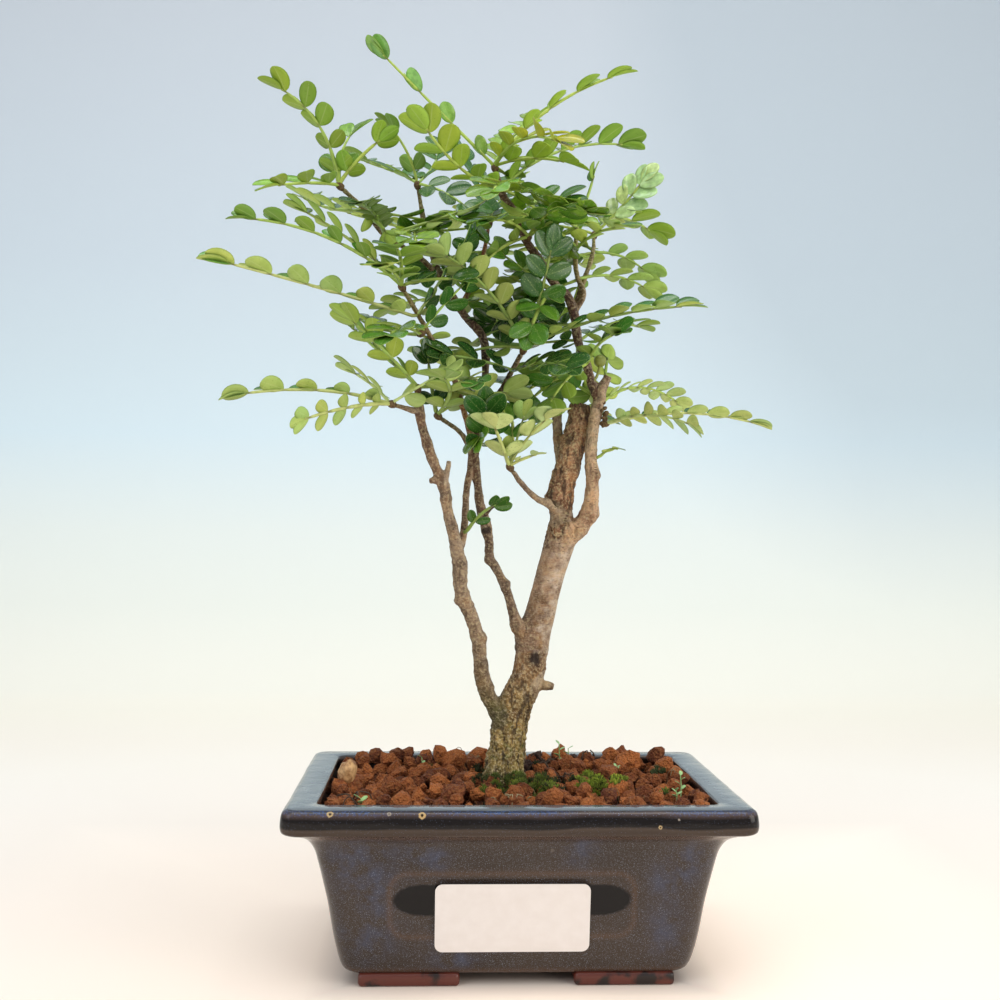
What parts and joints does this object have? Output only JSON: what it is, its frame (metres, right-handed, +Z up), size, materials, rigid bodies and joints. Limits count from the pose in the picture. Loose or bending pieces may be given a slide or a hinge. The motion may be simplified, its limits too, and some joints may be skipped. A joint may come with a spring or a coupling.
{
  "type": "chinese pepper bonsai",
  "caption": "Small indoor bonsai with pinnate leaves on a forked trunk, in a rectangular glazed pot of clay granules.",
  "frame": {"origin": "on the surface that the pot stands on, under the middle of the whole object's bounding box", "axes": "+Z up, -Y the pot's front, +X along the pot's long side to the viewer's right"},
  "size_m": [0.2016, 0.1264, 0.3174],
  "materials": {
    "glazed_stoneware": "opaque glossy dark blue-grey glaze with fine pale speckle",
    "black_net": "matt",
    "fired_clay_granules": "rough, dusty, reddish brown",
    "label_paper": "smooth coated paper, bare",
    "bark": "rough tan bark",
    "leaf_dark": "waxy",
    "leaf_green": "waxy",
    "leaf_bright": "waxy",
    "leaf_light": "satin underside"
  },
  "bodies": {
    "root": {"pot": "glazed_stoneware", "drain_mesh_left": "black_net", "drain_mesh_right": "black_net", "soil": "fired_clay_granules", "label": "label_paper", "wood": "bark", "spray_left_high": "leaf_light", "spray_left_tip": "leaf_green", "spray_stem2_tip": "leaf_green", "spray_left_mid": "leaf_green", "spray_spur_tip": "leaf_light", "spray_left_twig_tip": "leaf_dark", "spray_high_tip": "leaf_bright", "spray_high_upper": "leaf_green", "spray_high_middle": "leaf_dark", "spray_arm_tip": "leaf_bright", "spray_arm_upper": "leaf_bright", "spray_arm_middle": "leaf_green", "spray_brown_tip": "leaf_dark", "spray_right_upper": "leaf_light", "spray_behind_tip": "leaf_bright", "spray_trunk_twig_tip": "leaf_light", "spray_mid_tip": "leaf_green", "spray_mid_upper": "leaf_bright", "spray_reddish_tip": "leaf_green", "spray_young_tip": "leaf_bright", "spray_young_upper": "leaf_green", "spray_dark_low": "leaf_green", "spray_stem3_tip": "leaf_dark", "spray_left_low": "leaf_light", "spray_stem2b_low": "leaf_dark", "spray_right_low": "leaf_green", "spray_brown_middle": "leaf_dark", "spray_arm_low": "leaf_green", "spray_upper_arm_tip": "leaf_green", "spray_mid_low": "leaf_green", "spray_young_low": "leaf_green", "spray_behind_upper": "leaf_green", "spray_right_tip": "leaf_green", "spray_dark_middle": "leaf_green", "spray_dark_upper": "leaf_dark", "spray_arm_back": "leaf_green", "spray_reddish_middle": "leaf_green", "spray_mid_back_upper": "leaf_green", "spray_mid_back": "leaf_green", "spray_mid_back_low": "leaf_dark"}
  },
  "joints": []
}
